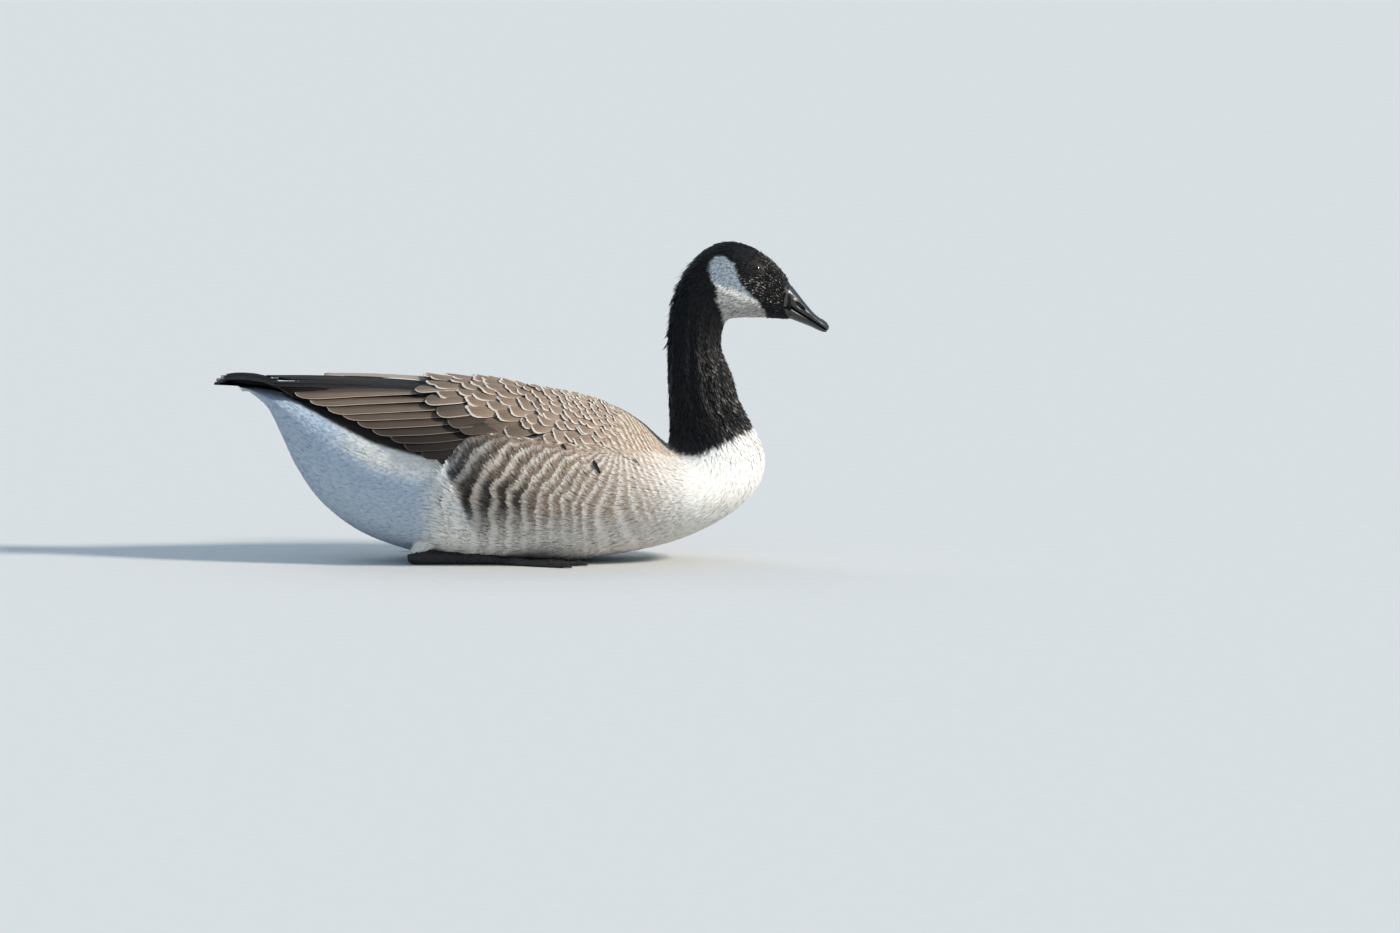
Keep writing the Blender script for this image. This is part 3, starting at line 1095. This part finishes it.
def feather_row(coat, count, axis, root, root_step, tip, tip_step, width, lifts, cant, look, shape=FLIGHT,
                sides=(1, -1), order=0.0):
    """A row of long feathers on the folded wings, each straight in the row's own view. look gives the
    colours of a feather's middle and edge and the width of its fringe, from its share of the row."""
    places, step = np.linspace(0, 1, 25), 0.02
    numbers = np.arange(count)
    for side in sides:
        spines = []
        for i in range(count):
            start = np.array(root) + np.array(root_step) * i + rng.normal(0, 0.5, 2)
            end = np.array(tip) + np.array(tip_step) * i + rng.normal(0, 0.8, 2)
            x, value = (start[:, None] + (end - start)[:, None] * places)
            spines.append(find_angle(wing, x, axis, value))
        spines = np.moveaxis(np.array(spines), 1, 0)
        length = np.linalg.norm(np.diff(wing.at(*spines), axis=1), axis=-1).sum(1)
        widths = width * jitter(count, 0.04)

        def points_at(x, y, lift, ss, tt):
            s = np.clip(ss, 0, 1)

            def spine_at(s):
                s = np.clip(s, 0, 1)
                return [np.stack([np.interp(s[k], places, line[k]) for k in numbers]) for line in spines]

            v, angle = spine_at(s)
            normal = wing.read(wing.normals, v, angle)
            across = unit(np.cross(normal, wing.at(*spine_at(s + step)) - wing.at(*spine_at(s - step))))
            # The form's own curve is followed by a second reading at the moved place.
            per_v, per_angle = wing.read(wing.per_v, v, angle), wing.read(wing.per_angle, v, angle)
            ahead = unit(wing.at(v + 0.01, angle) - wing.at(v - 0.01, angle))
            moved = v + (across * ahead).sum(-1) * y / np.maximum(per_v, 1e-3)
            turned = angle + (across * np.cross(normal, ahead)).sum(-1) * y / np.maximum(per_angle, 3.0)
            rise = lifts[0] + (lifts[1] - lifts[0]) * np.sin(np.minimum(1, s / 0.87) * math.pi / 2)
            rise = rise - cant * tt + (numbers * order)[:, None, None] + vane_section(tt)
            points = wing.at(np.clip(moved, 0, wing.last), turned, rise + lift)
            points[..., 0] += np.minimum(moved, 0) * per_v
            points[..., 1] *= side
            return points, None

        def paint(points, ss, tt, side=side):
            tint, edge, fringe, deep = look(numbers / max(1, count - 1))
            hidden = smooth(-0.66, 0.2, tt * side)[..., None]
            worn = 1 + 0.10 * (rng.random((count, 1, 1)) - 0.5) - 0.15 * smooth(0.25, 0.0, ss)[..., None]
            tint, edge = tint[:, None] * (1 - deep * hidden), edge[:, None] * (1 - 0.5 * hidden)
            return tint * worn, edge * worn, fringe

        uv = unwrap(spines[0][:, 0], side * spines[1][:, 0], 0, wing.last)
        coat.add(points_at if side == 1 else flipped(points_at), (length, widths), shape, 0.5, paint, uv,
                 ragged=0.004)


def flipped(points_at):
    """The same feathers, with the order of their places across turned round so that faces look out."""
    def turned(x, y, lift, ss, tt):
        return points_at(x, -y, lift, ss, -tt)
    return turned


# Rows of coverts and scapulars: the run of each row's tips where it crosses the top of the wing. The rows
# lean forward on their way down.
COVERT_ROWS = [-92, -67, -42, -26, -11, 2, 14, 25, 35.5, 45.5, 55, 64, 73, 81.5, 90, 98, 106, 114, 122, 130]
ROW_TOP, ROW_SLOPE = 172.0, 0.88
REAR_ROW_REACH = 72.0
BLUNT = (CONTOUR[0], np.array([0.5, 0.86, 1.0, 1.0, 0.92, 0.74, 0.44]), CONTOUR[2])


def make_coverts(coat):
    for number, top in enumerate(COVERT_ROWS):
        across = np.interp(top, [-67, 0, 50, 120], [15.0, 12.5, 9.0, 6.5])
        length = np.interp(top, [-92, -67, -42, 0, 50, 120], [58.0, 52.0, 42.0, 29.0, 22.0, 17.0])
        h, side = np.meshgrid(np.arange(0.5 + 0.5 * (number % 2), 150 / across) * across, (1.0, -1.0))
        h, side = h.ravel(), side.ravel()
        if number == 0:
            h, side = h[h < REAR_ROW_REACH], side[h < REAR_ROW_REACH]
        h = h + rng.normal(0, 0.11 * across, len(h))
        u = np.full(len(h), float(top))
        for _ in range(3):
            v, angle = wing.place(u, h)
            tip = wing.at(v, np.nan_to_num(angle, nan=3.0))
            u = top + ROW_SLOPE * (ROW_TOP - tip[:, 2]) + rng.normal(0, 0.10 * across, len(h))
        steepest = np.interp(top, [-60, 60, 120], [0.42, 0.38, 0.2])
        turn = np.interp(h, [15, 60], [0.08, 1]) * steepest + rng.normal(0, 0.08, len(h))
        root_u, root_h = u + length * np.cos(turn), np.maximum(h - length * np.sin(turn), 1.0)
        root_v, root_angle = wing.place(root_u, root_h)
        over_edge = tip[:, 2] - line_at(WING_EDGE, tip[:, 0])
        good = ~np.isnan(angle + root_angle) & (root_u < wing.run[-1] - 1) & (over_edge > 0.25 * across)
        v, angle, side, turn = root_v[good], (root_angle * side)[good], side[good], turn[good]
        x, z, over_edge = tip[good, 0], tip[good, 2], over_edge[good]
        n = len(v)
        if n == 0:
            continue
        lengths, widths = length * jitter(n, 0.08), 1.45 * across * jitter(n, 0.10)
        ahead = smooth(-70, 95, x)
        low = (smooth(152, 130, z) * smooth(40, -40, x))[:, None]
        middle = mix(linear(0.53, 0.45, 0.385), linear(0.65, 0.57, 0.50), ahead) * jitter(n, 0.10)[:, None]
        middle = (middle * (1 - low) + linear(0.30, 0.26, 0.235) * low)[:, None]
        fringe = mix(linear(0.83, 0.785, 0.73), linear(0.89, 0.85, 0.80), ahead) * (1 - 0.35 * low)
        wide = np.interp(x, [-80, 0, 100], [2.4, 2.1, 1.6])[:, None]

        def look(points, ss, tt):
            deep = 1.10 - 0.34 * smooth(0.30, 0.85, ss) * smooth(1.0, 0.4, np.abs(tt))
            return middle * deep[..., None], fringe, wide * (0.18 + 0.82 * smooth(0.72, 0.97, ss))

        tall = np.interp(x, [-80, 0, 100], [3.0, 1.8, 1.0]) * (1 - 0.8 * smooth(16, 4, over_edge))
        lifts = (-2.6, tall + rng.normal(0, 0.2, n))
        points_at = on_form(wing, v, angle, side, turn, lengths, lifts, 1.0 + 0.03 * across,
                            0.5 + rng.normal(0, 0.15, n))
        uv = unwrap(v, angle, 0, wing.last)
        coat.add(points_at, (lengths, widths), BLUNT, 0.35, look, uv, ragged=0.014)


def shaded(top, low, edge, fringe, deep=0.72):
    """Colours of a row of wing feathers that darken from its first feather to its last: top, low and edge
    are colours, fringe is the edge's width, and deep how much the covered half of a vane darkens."""
    top, low, edge = linear(*top), linear(*low), linear(*edge)

    def look(share):
        tint = mix(top, low, smooth(0.1, 0.75, share))
        return tint, mix(edge, tint * 1.5, smooth(0.1, 0.9, share)), fringe, deep
    return look


def make_wings():
    coat = Coat("wing_vanes", wing_vanes, "brown_plumage")
    black = shaded((0.085, 0.078, 0.072), (0.06, 0.056, 0.052), (0.34, 0.31, 0.28), 0.45)
    brown = shaded((0.48, 0.41, 0.35), (0.17, 0.15, 0.135), (0.72, 0.66, 0.59), 0.8)
    light = shaded((0.62, 0.56, 0.50), (0.62, 0.56, 0.50), (0.88, 0.85, 0.80), 1.6, 0.0)
    grey = shaded((0.53, 0.465, 0.41), (0.28, 0.24, 0.21), (0.80, 0.76, 0.70), 1.5, 0.35)
    # Folded tips, the primaries under them, secondaries, raised tertials of the left wing, and tertials.
    feather_row(coat, 7, "y", [-84, 7], [0, 5.0], [-256, 4.5], [7.5, 3.1], 16, [-7, -1.2], 1.0, black,
                POINTED, order=-0.25)
    feather_row(coat, 3, "z", [-150, 180], [6, -6.0], [-251, 179.5], [9, -5.5], 15, [-3.5, -0.4], 1.0, black,
                POINTED)
    feather_row(coat, 10, "z", [-66, 177.5], [3.5, -6.6], [-226.5, 171.5], [16.0, -6.5], 20, [-5.0, -0.2],
                2.1, brown)
    feather_row(coat, 2, "y", [-60, 27], [4, 12], [-197, 20], [18, 12], 24, [-4.6, 2.4], 3.2, light,
                sides=(1,), order=0.6)
    feather_row(coat, 5, "z", [-48, 179], [9.0, -8.4], [-106, 173], [11.0, -8.4], 22, [-4.2, 1.6], 1.4, grey)
    make_coverts(coat)
    coat.make(("wing_left", "wing_right"))


make_wings()


# Dark slits where the flank's upper feathers part: x and z of the front end, how far each turns up on its
# way back, its length and its width.
SLITS = np.array([[79.0, 95.0, 1.08, 14.0, 3.8], [45.0, 116.5, 0.9, 7.0, 3.0], [118.0, 102.5, 0.9, 7.0, 1.7]])


def make_slits():
    coat = Coat("coat_slits", body_soft, "pale_plumage", soft=True)
    x, z, up, length, width = SLITS.T
    v, angle = find_angle(body, x, "z", z)
    colour = linear(0.10, 0.10, 0.11)
    for side in (1.0, -1.0):
        points_at = on_form(body, v, side * angle, side, -up, length, (1.0, 1.5), 0.2, 0.0, lift_over_wing)
        coat.add(points_at, (length, width), CONTOUR, 0.2, (colour, colour, 0),
                 unwrap(v, side * angle, 0, 16))
    coat.make()


make_slits()


# Tail


def tail_sheet(s, t):
    """Points of the fanned tail's sheet, from its base to its tips by s and across it by t, and its half
    width."""
    x, z, half, droop = np.moveaxis(along(TAIL_LINES, s * (len(TAIL_LINES) - 1)), -1, 0)
    return np.stack([x, half * t, z - droop * t * t], -1), half


def make_tail():
    coat = Coat("tail_vanes", black_vanes, "tail_feathers")
    count, step = 9, 0.01
    index = np.arange(count)
    middle = (index + 0.5) / count
    for side in (1, -1):
        reach = np.minimum(1, 0.99 - 0.08 * (index / count) ** 2 + rng.normal(0, 0.014, count))
        length = 137 * (reach - 0.1)
        width = np.full(count, 15.0)

        def points_at(x, y, lift, ss, tt):
            s = 0.1 + (reach[:, None, None] - 0.1) * np.clip(ss, 0, 1)
            _, half = tail_sheet(s, 0 * s)
            t = middle[:, None, None] + y / half
            forward = tail_sheet(s - step, t)[0] - tail_sheet(s + step, t)[0]
            left = tail_sheet(s, t + step)[0] - tail_sheet(s, t - step)[0]
            rise = 0.6 - 0.12 * index[:, None, None] - 1.2 * tt + vane_section(tt)
            points = tail_sheet(s, t)[0] + unit(np.cross(forward, left)) * (lift + rise)[..., None]
            points[..., 1] *= side
            return points, None

        uv = np.stack([np.full(count, 0.1), 0.5 + side * middle * 0.45], -1)
        look = linear(0.06, 0.055, 0.052), linear(0.34, 0.31, 0.29), 0.35
        coat.add(points_at if side == -1 else flipped(points_at), (length, width), FLIGHT, 0.5, look, uv,
                 ragged=0.006)
    coat.make(("tail",))


make_tail()


# Bill, eyes, legs and feet


horn = plain_material("bill_horn", linear(0.07, 0.07, 0.076), 0.40, 0.75, coat=0.12, grain=700.0,
                      depth=0.00006, spread=0.25)
claw_horn = plain_material("claw_horn", linear(0.12, 0.11, 0.105), 0.35, grain=500.0, depth=0.00008,
                           stretch=(0.3, 1, 1))


def scaled_material(name, colour, size):
    """Leather of legs and feet: small round scales, paler at their middles, with dark creases."""
    m = Nodes(name)
    cells = m.tree.nodes.new("ShaderNodeTexVoronoi")
    cells.feature = "DISTANCE_TO_EDGE"
    cells.inputs["Scale"].default_value = 1 / size
    m.link(m.place(), cells.inputs["Vector"])
    scale = m.ramp(cells.outputs["Distance"], 0.02, 0.22)
    cloud = m.noise(90.0, detail=3.0)
    m.colour(m.mix(scale, colour * 0.35, m.mix(cloud, colour * 0.75, colour * 1.4)))
    m.shine(m.ramp(cloud, 0.3, 0.7, 0.38, 0.55), 0.4)
    m.bump(scale, 0.7, 0.0003)
    return m.material


foot_skin = scaled_material("foot_leather", linear(0.19, 0.18, 0.175), 0.0021)


def make_bill():
    upper, lower = Form(UPPER_BILL_LINES), Form(LOWER_BILL_LINES)

    def nostril(points):
        """Sinks the nostrils into the sides and raises the nail at the tip."""
        dx, dz = points[..., 0] - 278.6, points[..., 2] - 255.4
        slope = math.radians(41)
        lengthwise = dx * math.cos(slope) - dz * math.sin(slope)
        across = dx * math.sin(slope) + dz * math.cos(slope)
        r = np.sqrt((lengthwise / 6.6) ** 2 + (across / 2.1) ** 2)
        side = smooth(3, 7, np.abs(points[..., 1]))
        dip = -3.4 * smooth(1.0, 0.5, r) + 0.55 * smooth(0.85, 1.1, r) * smooth(1.7, 1.25, r)
        valley = -0.9 * smooth(3.0, 1.3, r)
        nail = 0.7 * smooth(298.5, 300.5, points[..., 0]) * smooth(8.5, 5, np.abs(points[..., 1]))
        points = points.copy()
        points[..., 1] += np.sign(points[..., 1]) * (dip + valley) * side
        points[..., 2] += nail
        return points

    def with_base(form, v, turns, back_x, lift, rings=18):
        """Points of a bill half, drawn back over the head as far as its feathers let it."""
        v, angle = ring_places(v, turns)
        points, angle = form.at(v, angle), angle[0]
        front = points[0]
        back = front.copy()
        back[:, 0] = back_x(front[:, 2], angle)
        back[:, 2] += (270.4 - back[:, 0]) * 0.42 * smooth(262, 272, front[:, 2])
        wide = head_side(back[:, 0], back[:, 2]) + lift
        share = smooth(0.02, 0.30, np.abs(np.sin(angle)))
        half = np.abs(front[:, 1]) * (1 - share) + np.minimum(wide, 17) * share
        back[:, 1] = np.sign(np.sin(angle)) * half
        t = np.linspace(0, 1, rings, endpoint=False)[:, None, None]
        bridge = back * (1 - t) + front * t
        sunk = 0.6 * np.sin(math.pi * t[..., 0]) ** 2 * share
        bridge[..., 1] -= np.sign(bridge[..., 1]) * sunk
        return np.concatenate([bridge, points])

    v = np.concatenate([np.linspace(0, 5, 110), 5 + np.linspace(0, 1, 22)[1:]])

    def upper_back(z, angle):
        side = np.interp(z, [252, 256, 262, 267, 271, 274, 275],
                         [262.5, 261.8, 262.4, 264.2, 262.4, 264.5, 269.8])
        return side + (268.5 - side) * smooth(-0.6, -0.9, np.cos(angle))

    def lower_back(z, angle):
        side = np.interp(z, [241.5, 244, 248, 253], [268.6, 267.0, 264.2, 262.6])
        return side + (268.5 - side) * smooth(0.5, 0.8, np.cos(angle))

    points, quads = closed(nostril(with_base(upper, v, 96, upper_back, 0.45)))
    finish_piece(new_mesh("bill_upper_horn", points, quads), horn, ("bill_upper",))
    points, quads = closed(with_base(lower, np.linspace(0, 5, 80), 80, lower_back, 0.3))
    finish_piece(new_mesh("bill_lower_horn", points, quads), horn, ("bill_lower",))


def eye_material():
    """Brown iris round a black pupil, under a wet gloss. The layer ring is 0 at the middle of the pupil."""
    m = Nodes("eye_wet")
    point = m.attribute("ring")
    brown = m.mix(m.noise(2600.0, detail=3.0), linear(0.19, 0.115, 0.075), linear(0.30, 0.19, 0.125))
    colour = m.mix(m.ramp(point, 0.40, 0.47), (0.002, 0.002, 0.002), brown)
    m.colour(m.mix(m.ramp(point, 0.74, 0.82), colour, (0.004, 0.003, 0.003)))
    m.shine(0.05, 0.45)
    return m.material


# Half width and half height of the lids' opening and of their outer edge under the head's feathers.
LIDS_INSIDE, LIDS_OUTSIDE = (6.2, 4.7), (10.4, 9.2)


def make_eyes():
    material = eye_material()
    lid_look = plain_material("lid_skin", linear(0.085, 0.078, 0.073), 0.55, 0.4, grain=1500.0, depth=0.0003)
    out = unit(np.array([0.06, 1.0, 0.02]))
    u = unit(np.cross(out, [0, 0, 1.0]))
    w = np.cross(u, out)
    polar, turn = (a[..., None] for a in ring_places(np.linspace(0, math.pi, 41), 64))
    bulge = EYE_RADIUS * (1 + 0.03 * smooth(0.55, 0.0, polar))
    ball = EYE_CENTRE + bulge * (np.cos(polar) * out + np.sin(polar) * (np.cos(turn) * u + np.sin(turn) * w))
    ring = np.where(polar < 1.6, np.sin(polar), 1.0)
    ball_quads = ring_quads(*ball.shape[:2])[:, [0, 3, 2, 1]]

    # Lids: rings from the eye's opening out to the head's feathers.
    levels, turn = ring_places(np.array([0, 0.12, 0.3, 0.5, 0.72, 1.0]), 96)
    lift = np.array([0, 0.55, 0.8, 0.55, 0.2, -0.6])[:, None]
    half_x, half_z = (a + (b - a) * levels for a, b in zip(LIDS_INSIDE, LIDS_OUTSIDE))
    dx, dz = half_x * np.cos(turn), half_z * np.sin(turn)
    x, z = EYE_CENTRE[0] + dx, EYE_CENTRE[2] + dz
    on_ball = EYE_CENTRE[1] + np.sqrt(np.maximum((EYE_RADIUS + 0.3) ** 2 - dx ** 2 - dz ** 2, 0))
    share = smooth(0.1, 0.75, levels)
    lids = np.stack([x, on_ball * (1 - share) + (head_side(x, z) - 0.6) * share + lift, z], -1)
    lid_quads = ring_quads(*levels.shape)

    for side, name in ((1, "left"), (-1, "right")):
        mirror = [1, side, 1]
        piece = new_mesh(f"eyeball_{name}", ball.reshape(-1, 3) * mirror, ball_quads[:, ::-side],
                         {"ring": ring.ravel()})
        finish_piece(piece, material, (f"eye_{name}",))
        piece = new_mesh(f"lids_{name}", lids.reshape(-1, 3) * mirror, lid_quads[:, ::-side])
        finish_piece(piece, lid_look)


def head_side(x, z):
    """The head's half width at places in the side view."""
    vv, aa = np.meshgrid(np.linspace(22, 28, 200), np.linspace(0.05, math.pi - 0.05, 200), indexing="ij")
    points = body.at(vv, aa).reshape(-1, 3)
    flat_x, flat_z = np.ravel(x), np.ravel(z)
    d = (points[:, 0][None] - flat_x[:, None]) ** 2 + (points[:, 2][None] - flat_z[:, None]) ** 2
    near = np.argsort(d, 1)[:, :4]
    weight = 1 / (np.take_along_axis(d, near, 1) + 1e-3)
    return ((points[near, 1] * weight).sum(1) / weight.sum(1)).reshape(np.shape(x))


make_bill()
make_eyes()

# How far each leg lies from the middle plane.
LEG_SIDE = 50
LEG_LINES = np.array([
    [-113.5, 8.6, -113.5, 6.0, 1.6, 0.5, 2.0, 2.0],
    [-112.4, 11.6, -112.4, 2.9, 4.2, 0.5, 2.0, 2.0],
    [-109.3, 14.0, -109.3, 0.6, 5.9, 0.5, 2.0, 2.1],
    [-103.0, 15.2, -103.0, -0.7, 7.0, 0.5, 2.0, 2.4],
    [-93, 14.8, -93, -0.8, 7.1, 0.5, 2.0, 2.6],
    [-75, 12.4, -75, -0.8, 5.2, 0.5, 2.0, 2.6],
    [-50, 12, -50, -0.8, 5.0, 0.5, 2.0, 2.6],
    [-33, 12.0, -33, -0.8, 6.2, 0.5, 2.0, 2.6],
    [-26, 8.0, -26, -0.6, 6.4, 0.5, 2.0, 2.6],
    [-21, 3.2, -21, -0.2, 4.0, 0.5, 2.0, 2.0],
])
# The feathered thigh, from the heel up into the belly.
THIGH_LINES = np.array([
    [-110, 13.0, -103, 9.5, 5.4, 0.5, 2.0, 2.0], [-109, 19, -93, 13, 7.0, 0.5, 2.0, 2.0],
    [-104, 28, -80, 19, 9.5, 0.5, 2.0, 2.0], [-94, 38, -66, 27, 11, 0.5, 2.0, 2.0],
])


def make_legs():
    leg, thigh = Form(LEG_LINES), Form(THIGH_LINES)
    points, quads = closed(leg.at(*ring_places(np.linspace(0, leg.last, 130), 48)))
    flesh, flesh_quads = closed(thigh.at(*ring_places(np.linspace(0, thigh.last, 40), 48), -1.0))
    points[:, 2] = np.maximum(points[:, 2], 0)
    for side, name in ((1, "left"), (-1, "right")):
        out = [0, LEG_SIDE * side, 0]
        finish_piece(new_mesh(f"shank_{name}", points + out, quads), foot_skin, (f"leg_{name}",))
        piece = new_mesh(f"thigh_{name}", flesh + out, flesh_quads,
                         colours={"tint": np.broadcast_to(WHITE * 0.85, flesh.shape)})
        finish_piece(piece, bpy.data.materials["skin_down"])
    coat = Coat("coat_thighs", body_soft, "pale_plumage", soft=True)
    for side in (1, -1):
        v, angle, root = cover(thigh, 0.05, 2.95, lambda v: np.full(np.shape(v), 2.6))
        n = len(v)
        length, width = 13 * jitter(n, 0.12), 3.2 * jitter(n, 0.12)
        inner = on_form(thigh, v, angle, 1, rng.normal(0, 0.1, n), length,
                        (-1.6, 0.2 + np.abs(rng.normal(0, 0.2, n))), 0.3, rng.normal(0, 0.1, n))

        def points_at(*places, inner=inner, side=side):
            points, normals = inner(*places)
            points[..., 1] += LEG_SIDE * side
            points[..., 2] = np.maximum(points[..., 2], 0.3)
            return points, normals

        coat.add(points_at, (length, width), TUFT, 0.25, (WHITE * 0.95, WHITE * 0.95, 0),
                 unwrap(v, angle, 0, 3) * [1, 0.5] + [0, 0.25 - 0.25 * side], ragged=0.05)
    coat.make()


make_legs()

# Feet and claws are the frame's own nodes.
KEPT = {"claw": (claw_horn, "claw"), "foot": (foot_skin, "foot_skin")}
for name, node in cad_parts.items():
    kind = name.split("_")[0]
    if kind in KEPT:
        look, slot = KEPT[kind]
        node.data.materials.clear()
        node.data.materials.append(look)
